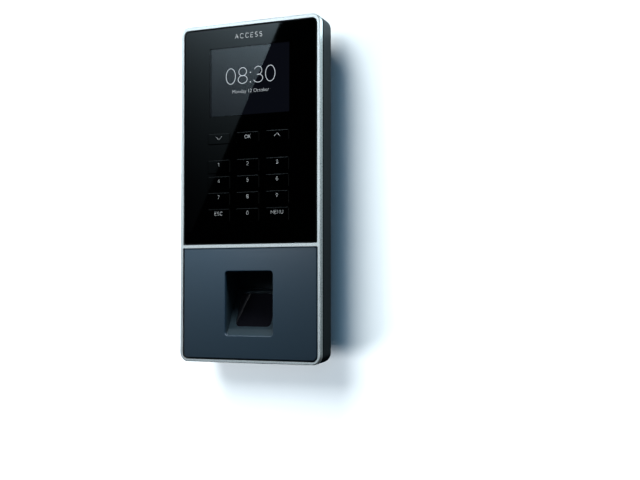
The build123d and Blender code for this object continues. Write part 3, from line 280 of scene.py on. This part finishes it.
def make_card():
    """Tall softbox to the left, seen only in glossy surfaces; it fades towards its lower edge."""
    slope = (CARD_EDGE_TOP - CARD_EDGE_LOW).normalized()
    top = CARD_EDGE_TOP + slope * CARD_ABOVE
    low = CARD_EDGE_LOW - slope * CARD_BELOW
    far_low = mirrored(low.x - CARD_WIDTH_LOW, low.y)
    far_top = mirrored(top.x - CARD_WIDTH_TOP, top.y)
    corners = [mirrored(*top), mirrored(*low), far_low, far_top]
    card = flat_mesh("softbox_card", corners)
    material = bpy.data.materials.new("softbox_light")
    material.use_nodes = True
    tree = material.node_tree
    tree.nodes.clear()
    place = tree.nodes.new("ShaderNodeTexCoord")
    split = tree.nodes.new("ShaderNodeSeparateXYZ")
    tree.links.new(place.outputs["Object"], split.inputs[0])
    scale = (mirrored(0, 0.1).z - mirrored(0, 0).z) / 0.1
    fade = math_node(tree, "SUBTRACT", split.outputs["Z"], mirrored(*CARD_EDGE_TOP).z)
    fade = math_node(tree, "DIVIDE", fade, scale * CARD_FADE)
    fade = math_node(tree, "EXPONENT", fade)
    edge_x = mirrored(*CARD_EDGE_TOP).x
    across = math_node(tree, "SUBTRACT", split.outputs["X"], edge_x)
    across = math_node(tree, "DIVIDE", across, scale * CARD_SIDE_FADE)
    across = math_node(tree, "ADD", across, CARD_EDGE_LEVEL)
    across = math_node(tree, "MAXIMUM", across, CARD_FAR_LEVEL)
    strength = math_node(tree, "MULTIPLY", fade, across)
    strength = math_node(tree, "MULTIPLY", strength, CARD_STRENGTH)
    glow = tree.nodes.new("ShaderNodeEmission")
    glow.inputs["Color"].default_value = CARD_COLOUR
    output = tree.nodes.new("ShaderNodeOutputMaterial")
    tree.links.new(strength, glow.inputs["Strength"])
    tree.links.new(glow.outputs[0], output.inputs["Surface"])
    card.data.materials.append(material)
    reflected_only(card)


def reflected_only(card):
    """Show a card in shiny and clear surfaces alone."""
    card.visible_camera = False
    card.visible_diffuse = False
    card.visible_shadow = False


ROOM_COLOUR = (0.86, 0.97, 1.0)
WALL_COLOUR = (0.78, 0.96, 1.0)
CEILING_STRENGTH = 0.4
SIDE_STRENGTH = 0.4
TOP_RIGHT_STRENGTH = 2.4
# Name, near and far x and strength of the strips of lit wall, which brighten e-fold over a height.
WALL_STRIPS = (("right_glow", 0.052, 0.40, 0.32), ("left_glow", -0.052, -0.40, 0.75))
WALL_STRIP_TOP = 0.25
WALL_STRIP_RISE = 0.14


def make_glow_card(name, corners, colour, base, rise=None):
    """Flat light seen only in shiny surfaces; its strength may grow e-fold over a height."""
    card = flat_mesh(name, corners)
    material = bpy.data.materials.new(name)
    material.use_nodes = True
    tree = material.node_tree
    tree.nodes.clear()
    light = tree.nodes.new("ShaderNodeEmission")
    light.inputs["Color"].default_value = (*colour, 1)
    light.inputs["Strength"].default_value = base
    output = tree.nodes.new("ShaderNodeOutputMaterial")
    tree.links.new(light.outputs[0], output.inputs["Surface"])
    if rise:
        place = tree.nodes.new("ShaderNodeTexCoord")
        split = tree.nodes.new("ShaderNodeSeparateXYZ")
        tree.links.new(place.outputs["Object"], split.inputs[0])
        growth = math_node(tree, "EXPONENT", math_node(tree, "DIVIDE", split.outputs["Z"], rise))
        tree.links.new(math_node(tree, "MULTIPLY", growth, base), light.inputs["Strength"])
    card.data.materials.append(material)
    reflected_only(card)


def make_reflections():
    """Ceiling above, the lit wall beside the terminal and the room at its side, as shiny surfaces see them."""
    ceiling = [(-1.2, -0.35, 0.7), (0.4, -0.35, 0.7), (0.4, 0.8, 0.7), (-1.2, 0.8, 0.7)]
    make_glow_card("ceiling_card", ceiling, ROOM_COLOUR, CEILING_STRENGTH)
    back, low, high = cad_high.y, cad_low.z, WALL_STRIP_TOP
    for name, near, far, strength in WALL_STRIPS:
        strip = [(near, back, low), (far, back, low), (far, back, high), (near, back, high)]
        make_glow_card(name, strip, WALL_COLOUR, strength, WALL_STRIP_RISE)
    side = [(1.2, -0.9, -0.5), (1.2, -0.1, -0.5), (1.2, -0.1, 0.6), (1.2, -0.9, 0.6)]
    make_glow_card("side_glow", side, ROOM_COLOUR, SIDE_STRENGTH)
    patch = [(0.052, back, 0.10), (0.20, back, 0.10), (0.20, back, 0.20), (0.052, back, 0.20)]
    make_glow_card("top_right_glow", patch, WALL_COLOUR, TOP_RIGHT_STRENGTH)


# ---------------------------------------------------------------- material helpers
def new_material(name):
    """Material with a Principled shader, its node tree and the shader."""
    material = bpy.data.materials.new(name)
    material.use_nodes = True
    return material, material.node_tree, material.node_tree.nodes["Principled BSDF"]


def math_node(tree, operation, first, second=None):
    """Math node on one or two values or sockets."""
    node = tree.nodes.new("ShaderNodeMath")
    node.operation = operation
    for socket, value in zip(node.inputs, (first, second)):
        if isinstance(value, bpy.types.NodeSocket):
            tree.links.new(value, socket)
        elif value is not None:
            socket.default_value = value
    return node.outputs[0]


def object_place(tree, stretch=(1, 1, 1)):
    """Position on the object in metres, stretched along each axis."""
    place = tree.nodes.new("ShaderNodeTexCoord")
    scale = tree.nodes.new("ShaderNodeMapping")
    scale.inputs["Scale"].default_value = stretch
    tree.links.new(place.outputs["Object"], scale.inputs["Vector"])
    return scale.outputs[0]


def noise(tree, scale, detail=2.0, stretch=(1, 1, 1)):
    """Noise value over the object; scale is in grains per metre."""
    texture = tree.nodes.new("ShaderNodeTexNoise")
    texture.inputs["Scale"].default_value = scale
    texture.inputs["Detail"].default_value = detail
    tree.links.new(object_place(tree, stretch), texture.inputs["Vector"])
    return texture.outputs["Fac"]


# Range that most of a noise texture's values lie in.
NOISE_LOW = 0.3
NOISE_HIGH = 0.7


def link_range(tree, value, socket, low, high):
    """Drive a shader's value socket between two limits."""
    spread = tree.nodes.new("ShaderNodeMapRange")
    spread.inputs["From Min"].default_value = NOISE_LOW
    spread.inputs["From Max"].default_value = NOISE_HIGH
    spread.inputs["To Min"].default_value = low
    spread.inputs["To Max"].default_value = high
    tree.links.new(value, spread.inputs["Value"])
    tree.links.new(spread.outputs[0], socket)


def link_colour(tree, shader, value, first, second):
    """Blend the base colour between two colours by a value."""
    ramp = tree.nodes.new("ShaderNodeValToRGB")
    ramp.color_ramp.elements[0].position = NOISE_LOW
    ramp.color_ramp.elements[1].position = NOISE_HIGH
    ramp.color_ramp.elements[0].color = (*first[:3], 1)
    ramp.color_ramp.elements[1].color = (*second[:3], 1)
    tree.links.new(value, ramp.inputs[0])
    tree.links.new(ramp.outputs["Color"], shader.inputs["Base Color"])


def link_bump(tree, shader, value, height):
    """Bump of a height in metres."""
    bump = tree.nodes.new("ShaderNodeBump")
    bump.inputs["Strength"].default_value = 1.0
    bump.inputs["Distance"].default_value = height
    tree.links.new(value, bump.inputs["Height"])
    tree.links.new(bump.outputs[0], shader.inputs["Normal"])


ACRYLIC_INDEX = 1.49
DISPLAY_MOTTLE = 0.96


def surface(
    name, colour, roughness, metallic=0.0, spread=0.04, shade=0.92, grain=900.0, height=0.0, cloud=60.0,
    stretch=(1, 1, 1), specular=0.5, coat=0.0,
):
    """Moulded, painted or plated surface: faint clouds of colour, varied roughness and a fine grain."""
    material, tree, shader = new_material(name)
    shader.inputs["Metallic"].default_value = metallic
    shader.inputs["Specular IOR Level"].default_value = specular
    shader.inputs["Coat Weight"].default_value = coat
    shader.inputs["Coat Roughness"].default_value = 0.05
    clouds = noise(tree, cloud, 3.0, stretch)
    link_colour(tree, shader, clouds, [c * shade for c in colour], colour)
    fine = noise(tree, grain, 2.0, stretch)
    link_range(tree, fine, shader.inputs["Roughness"], max(0.0, roughness - spread), roughness + spread)
    if height:
        link_bump(tree, shader, fine, height)
    return material


def glass(name, colour):
    """Clear acrylic window."""
    material, tree, shader = new_material(name)
    shader.inputs["Base Color"].default_value = (*colour, 1)
    shader.inputs["Transmission Weight"].default_value = 1.0
    shader.inputs["IOR"].default_value = ACRYLIC_INDEX
    link_range(tree, noise(tree, 50.0, 3.0), shader.inputs["Roughness"], 0.0, 0.002)
    return material


def glow(name, colour):
    """Lit part of the display."""
    material, tree, shader = new_material(name)
    shader.inputs["Base Color"].default_value = (0, 0, 0, 1)
    shader.inputs["Specular IOR Level"].default_value = 0.0
    shader.inputs["Emission Strength"].default_value = 1.0
    link_range(tree, noise(tree, 60.0, 1.0), shader.inputs["Roughness"], 0.11, 0.14)
    ramp = tree.nodes.new("ShaderNodeValToRGB")
    ramp.color_ramp.elements[0].color = (*[c * DISPLAY_MOTTLE for c in colour], 1)
    ramp.color_ramp.elements[1].color = (*colour, 1)
    tree.links.new(noise(tree, 30.0, 1.0), ramp.inputs[0])
    tree.links.new(ramp.outputs["Color"], shader.inputs["Emission Color"])
    return material


def make_materials():
    """Every material slot of the record."""
    brushed = (1, 1, 14)
    return {
        "silver_frame": surface(
            "silver_frame", (0.78, 0.83, 0.86), 0.30, metallic=0.80, grain=2600, height=1e-6, cloud=25, shade=0.97
        ),
        "black_gloss": surface("black_gloss", (0.0006, 0.0006, 0.0008), 0.02, spread=0.008, cloud=30),
        "key_gloss": surface("key_gloss", (0.0007, 0.0007, 0.0009), 0.025, spread=0.01, cloud=90),
        "clear_lens": glass("clear_lens", (0.97, 0.98, 1.0)),
        "black_foam": surface("black_foam", (0.018, 0.018, 0.019), 0.9, grain=3000, height=6e-5),
        "lcd": surface("lcd", (0.004, 0.004, 0.006), 0.05, spread=0.02, specular=0.0),
        "sheet_steel": surface("sheet_steel", (0.55, 0.56, 0.57), 0.38, metallic=1, stretch=brushed, grain=500),
        "flex_film": surface("flex_film", (0.42, 0.19, 0.035), 0.28, grain=700, height=1e-5),
        "silicone": surface("silicone", (0.26, 0.27, 0.29), 0.62, grain=1500, height=8e-6),
        "circuit_board": circuit_board(),
        "black_plastic": surface("black_plastic", (0.006, 0.007, 0.008), 0.5, grain=1800, height=2e-5, specular=0.15),
        "slate_satin": surface(
            "slate_satin", (0.0072, 0.0258, 0.0465), 0.46, grain=2400, height=5e-6, cloud=18, shade=0.95
        ),
        # The finger pocket is the same slate plastic as the lower panel; its lighter colour here is painted light,
        # brightening the pocket's ramp as if lit from above.
        "slate_pocket": surface("slate_pocket", (0.026, 0.054, 0.074), 0.42, grain=2000, height=6e-6),
        "sensor_window": surface("sensor_window", (0.006, 0.006, 0.009), 0.06, spread=0.02, coat=0.6),
        "cable_jacket": surface("cable_jacket", (0.02, 0.02, 0.022), 0.45, grain=900, height=1e-5),
        "tinned_steel": surface("tinned_steel", (0.62, 0.62, 0.60), 0.33, metallic=1, grain=1200, height=6e-6),
        "bare_steel": surface("bare_steel", (0.66, 0.66, 0.65), 0.22, metallic=1, stretch=(9, 1, 1)),
        "white_plastic": surface("white_plastic", (0.72, 0.72, 0.70), 0.42, grain=1400, height=6e-6),
        "black_rubber": surface("black_rubber", (0.004, 0.005, 0.006), 0.75, grain=2200, specular=0.1),
        "dark_housing": surface(
            "dark_housing", (0.012, 0.020, 0.026), 0.44, grain=1700, height=1.4e-5, cloud=22, shade=0.9,
            specular=0.12,
        ),
        "zinc_steel": spangled_zinc(),
        "screw_steel": surface("screw_steel", (0.42, 0.42, 0.43), 0.3, metallic=1, grain=2500, height=6e-6),
        "insert_brass": surface("insert_brass", (0.70, 0.50, 0.20), 0.32, metallic=1, grain=1500, height=1e-5),
    }


def circuit_board():
    """Green solder mask with buried copper tracks showing as lighter lines."""
    material, tree, shader = new_material("circuit_board")
    shader.inputs["Coat Weight"].default_value = 0.4
    tracks = tree.nodes.new("ShaderNodeTexBrick")
    tracks.inputs["Scale"].default_value = 180.0
    tracks.inputs["Color1"].default_value = (0.010, 0.085, 0.040, 1)
    tracks.inputs["Color2"].default_value = (0.014, 0.105, 0.048, 1)
    tracks.inputs["Mortar"].default_value = (0.030, 0.190, 0.085, 1)
    tracks.inputs["Mortar Size"].default_value = 0.03
    turn = tree.nodes.new("ShaderNodeMapping")
    turn.inputs["Rotation"].default_value = (math.pi / 2, 0, 0)
    tree.links.new(object_place(tree), turn.inputs["Vector"])
    tree.links.new(turn.outputs[0], tracks.inputs["Vector"])
    tree.links.new(tracks.outputs["Color"], shader.inputs["Base Color"])
    link_range(tree, noise(tree, 900.0), shader.inputs["Roughness"], 0.25, 0.38)
    link_bump(tree, shader, tracks.outputs["Fac"], 2e-5)
    return material


def spangled_zinc():
    """Zinc-plated sheet steel with faint crystal patches."""
    material, tree, shader = new_material("zinc_steel")
    shader.inputs["Metallic"].default_value = 0.6
    cells = tree.nodes.new("ShaderNodeTexVoronoi")
    cells.inputs["Scale"].default_value = 160.0
    tree.links.new(object_place(tree), cells.inputs["Vector"])
    split = tree.nodes.new("ShaderNodeSeparateColor")
    tree.links.new(cells.outputs["Color"], split.inputs[0])
    link_colour(tree, shader, split.outputs[0], (0.50, 0.51, 0.52), (0.54, 0.55, 0.56))
    link_range(tree, split.outputs[1], shader.inputs["Roughness"], 0.40, 0.44)
    link_bump(tree, shader, noise(tree, 1500.0), 6e-6)
    return material


def dress_nodes(materials):
    """Give every CAD node the material of its slot."""
    slots = {row["node"]: row["material_slot"] for row in frame["record"]["subparts"]}
    for name, node in nodes.items():
        node.data.materials.clear()
        node.data.materials.append(materials[slots[name]])


# ---------------------------------------------------------------- stroke lettering
ARC_STEPS = 20
PRINT_THICKNESS = 0.04 * MM
# How far the middle of the printed strokes stands before the surface, in print thicknesses.
PRINT_LIFT = 0.2


def arc(cx, cz, rx, rz, start, end):
    """Points along an ellipse's arc, angles in degrees anticlockwise from the right."""
    angles = [math.radians(start + (end - start) * i / ARC_STEPS) for i in range(ARC_STEPS + 1)]
    return [(cx + rx * math.cos(a), cz + rz * math.sin(a)) for a in angles]


# Width and strokes of each sign, for a height of 1.
GLYPHS = {
    "0": (0.685, [arc(0.3425, 0.5, 0.3425, 0.5, 0, 360)]),
    "1": (0.30, [[(0.0, 0.80), (0.24, 1.0), (0.24, 0.0)]]),
    "2": (0.62, [arc(0.31, 0.70, 0.29, 0.30, 165, -35) + [(0.02, 0.0), (0.62, 0.0)]]),
    "3": (
        0.65,
        [arc(0.32, 0.74, 0.27, 0.26, 160, -90), [(0.24, 0.49), (0.34, 0.49)], arc(0.32, 0.25, 0.33, 0.25, 88, -160)],
    ),
    "4": (0.70, [[(0.70, 0.26), (0.0, 0.26), (0.50, 1.0), (0.50, 0.0)]]),
    "5": (0.62, [[(0.56, 1.0), (0.10, 1.0), (0.06, 0.54)] + arc(0.30, 0.32, 0.31, 0.32, 130, -150)]),
    "6": (0.64, [arc(0.32, 0.31, 0.31, 0.31, 0, 360), [(0.05, 0.44), (0.42, 1.0)]]),
    "7": (0.62, [[(0.0, 1.0), (0.60, 1.0), (0.20, 0.0)]]),
    "8": (0.66, [arc(0.33, 0.74, 0.28, 0.26, 0, 360), arc(0.33, 0.25, 0.33, 0.25, 0, 360)]),
    "9": (0.64, [arc(0.32, 0.69, 0.31, 0.31, 0, 360), [(0.59, 0.56), (0.22, 0.0)]]),
    ":": (0.07, [arc(0.035, 0.655, 0.02, 0.02, 0, 360), arc(0.035, 0.055, 0.02, 0.02, 0, 360)]),
    "A": (0.78, [[(0.0, 0.0), (0.39, 1.0), (0.78, 0.0)], [(0.14, 0.34), (0.64, 0.34)]]),
    "C": (0.80, [arc(0.46, 0.5, 0.46, 0.5, 42, 318)]),
    "E": (0.58, [[(0.58, 1.0), (0.0, 1.0), (0.0, 0.0), (0.58, 0.0)], [(0.0, 0.52), (0.50, 0.52)]]),
    "K": (0.66, [[(0.0, 0.0), (0.0, 1.0)], [(0.62, 1.0), (0.02, 0.42)], [(0.20, 0.60), (0.66, 0.0)]]),
    "M": (0.90, [[(0.0, 0.0), (0.0, 1.0), (0.45, 0.25), (0.90, 1.0), (0.90, 0.0)]]),
    "N": (0.76, [[(0.0, 0.0), (0.0, 1.0), (0.76, 0.0), (0.76, 1.0)]]),
    "O": (0.96, [arc(0.48, 0.5, 0.48, 0.5, 0, 360)]),
    "S": (0.60, [arc(0.30, 0.75, 0.27, 0.25, 40, 270) + arc(0.30, 0.25, 0.29, 0.25, 90, -140)]),
    "U": (0.74, [[(0.0, 1.0)] + arc(0.37, 0.36, 0.37, 0.36, 180, 360) + [(0.74, 1.0)]]),
    "down": (1.9, [[(0.0, 0.92), (0.95, 0.08), (1.9, 0.92)]]),
    "up": (1.9, [[(0.0, 0.08), (0.95, 0.92), (1.9, 0.08)]]),
}


def lettering(name, signs, centre, depth, height, stroke, spacing, material):
    """Flat printed strokes centred on (x, z) at a depth y; a curve bevelled round and pressed flat."""
    curve = bpy.data.curves.new(name, "CURVE")
    curve.dimensions = "3D"
    curve.bevel_depth = stroke / 2
    curve.bevel_resolution = 2
    curve.use_fill_caps = True
    length = sum(GLYPHS[s][0] for s in signs) + spacing * (len(signs) - 1)
    cursor = -length / 2
    for sign in signs:
        width, strokes = GLYPHS[sign]
        for points in strokes:
            spline = curve.splines.new("POLY")
            spline.points.add(len(points) - 1)
            for point, (x, z) in zip(spline.points, points):
                point.co = ((cursor + x) * height, 0, (z - 0.5) * height, 1)
        cursor += width + spacing
    obj = bpy.data.objects.new(name, curve)
    scene.collection.objects.link(obj)
    obj.location = (centre[0], depth, centre[1])
    obj.scale = (1, PRINT_THICKNESS / stroke, 1)
    curve.materials.append(material)
    return obj


KEY_SIGNS = {
    "key_down": ["down"],
    "key_ok": "OK",
    "key_up": ["up"],
    "key_esc": "ESC",
    "key_menu": "MENU",
    **{f"key_{n}": str(n) for n in range(10)},
}


LEGEND_HEIGHT = 2.2 * MM
ARROW_HEIGHT = 2.35 * MM
LEGEND_STROKE = 0.21 * MM
LEGEND_SPACING = 0.30
# The tall number keys carry their sign higher above the middle than the low keys of the top row.
TALL_KEY = 8.5 * MM
TALL_KEY_RAISE = 1.3 * MM
LOW_KEY_RAISE = 0.4 * MM


def make_legends(material):
    """Printed sign on every key, riding on its key."""
    for name in KEY_NODES:
        low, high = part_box(name)
        centre_x = (low.x + high.x) / 2
        centre_z = (low.z + high.z) / 2 + (TALL_KEY_RAISE if high.z - low.z > TALL_KEY else LOW_KEY_RAISE)
        legend = lettering(
            "legend_" + name[4:],
            KEY_SIGNS[name],
            (centre_x, centre_z),
            low.y - PRINT_LIFT * PRINT_THICKNESS,
            ARROW_HEIGHT if KEY_SIGNS[name][0] in ("down", "up") else LEGEND_HEIGHT,
            LEGEND_STROKE,
            LEGEND_SPACING,
            material,
        )
        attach(legend, name)


# ---------------------------------------------------------------- display image
DISPLAY_WIDTH = 57.6 * MM
DISPLAY_HEIGHT = 43.2 * MM
DISPLAY_CORNER = 0.2 * MM
DISPLAY_THICKNESS = 0.05 * MM
# The lit plate's front stands before the display panel, and the signs' middle before the plate.
GROUND_LIFT = 0.06 * MM
SIGN_LIFT = 0.03 * MM
CLOCK_CENTRE = (0.2 * MM, 73.35 * MM)
CLOCK_HEIGHT = 10.0 * MM
CLOCK_STROKE = 0.34 * MM
CLOCK_SPACING = 0.20
DATE_CENTRE = (0.3 * MM, 63.3 * MM)
DATE_SIZE = 3.25 * MM
DATE_THICKNESS = 0.01 * MM
DATE_THINNING = 0.055 * MM


def plate(name, centre, width, height, front, thickness, radius, material):
    """Thin rounded plate facing the viewer."""
    curve = bpy.data.curves.new(name, "CURVE")
    curve.dimensions = "2D"
    curve.fill_mode = "BOTH"
    curve.extrude = thickness / 2
    spline = curve.splines.new("POLY")
    points = []
    for cx, cz, start in ((1, 1, 0), (-1, 1, 90), (-1, -1, 180), (1, -1, 270)):
        points += arc(cx * (width / 2 - radius), cz * (height / 2 - radius), radius, radius, start, start + 90)
    spline.points.add(len(points) - 1)
    for point, (x, z) in zip(spline.points, points):
        point.co = (x, z, 0, 1)
    spline.use_cyclic_u = True
    obj = bpy.data.objects.new(name, curve)
    obj.rotation_euler = (math.pi / 2, 0, 0)
    obj.location = (centre[0], front + thickness / 2, centre[1])
    scene.collection.objects.link(obj)
    curve.materials.append(material)
    return obj


def make_date():
    """Date below the clock, as flat text."""
    text = bpy.data.curves.new("display_date", "FONT")
    text.body = "Monday 12 October"
    text.size = DATE_SIZE
    text.align_x = "CENTER"
    text.align_y = "CENTER"
    text.extrude = DATE_THICKNESS
    text.offset = -DATE_THINNING
    obj = bpy.data.objects.new("display_date", text)
    obj.rotation_euler = (math.pi / 2, 0, 0)
    scene.collection.objects.link(obj)
    return obj


def make_display():
    """Lit image of the display: dark ground, clock and date."""
    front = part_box("lcd_panel")[0].y - GROUND_LIFT
    lens_low, lens_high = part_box("display_lens")
    centre = ((lens_low.x + lens_high.x) / 2, (lens_low.z + lens_high.z) / 2)
    ground = plate(
        "display_ground",
        centre,
        DISPLAY_WIDTH,
        DISPLAY_HEIGHT,
        front,
        DISPLAY_THICKNESS,
        DISPLAY_CORNER,
        glow("display_ground", (0.0030, 0.0036, 0.0062)),
    )
    bright = glow("display_white", (0.78, 0.86, 0.92))
    signs = front - SIGN_LIFT
    clock = lettering(
        "display_clock", "08:30", CLOCK_CENTRE, signs, CLOCK_HEIGHT, CLOCK_STROKE, CLOCK_SPACING, bright
    )
    date = make_date()
    date.location = (DATE_CENTRE[0], signs, DATE_CENTRE[1])
    date.data.materials.append(glow("display_grey", (0.58, 0.63, 0.66)))
    for piece in (ground, clock, date):
        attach(piece, "terminal")


TITLE_CENTRE = (-0.4 * MM, 98.3 * MM)
TITLE_HEIGHT = 2.9 * MM
TITLE_STROKE = 0.27 * MM
TITLE_SPACING = 0.52


def make_title(material):
    """Generic word printed above the display."""
    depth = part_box("upper_panel")[0].y - PRINT_LIFT * PRINT_THICKNESS
    title = lettering(
        "panel_title", "ACCESS", TITLE_CENTRE, depth, TITLE_HEIGHT, TITLE_STROKE, TITLE_SPACING, material
    )
    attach(title, "terminal")


# ---------------------------------------------------------------- build
make_camera()
make_floor()
make_world()
make_lights(make_wall())
make_card()
make_reflections()
dress_nodes(make_materials())
print_white = surface("print_white", (0.52, 0.55, 0.57), 0.5, grain=2000)
make_legends(print_white)
make_title(print_white)
make_display()
scene.view_settings.view_transform = "Standard"
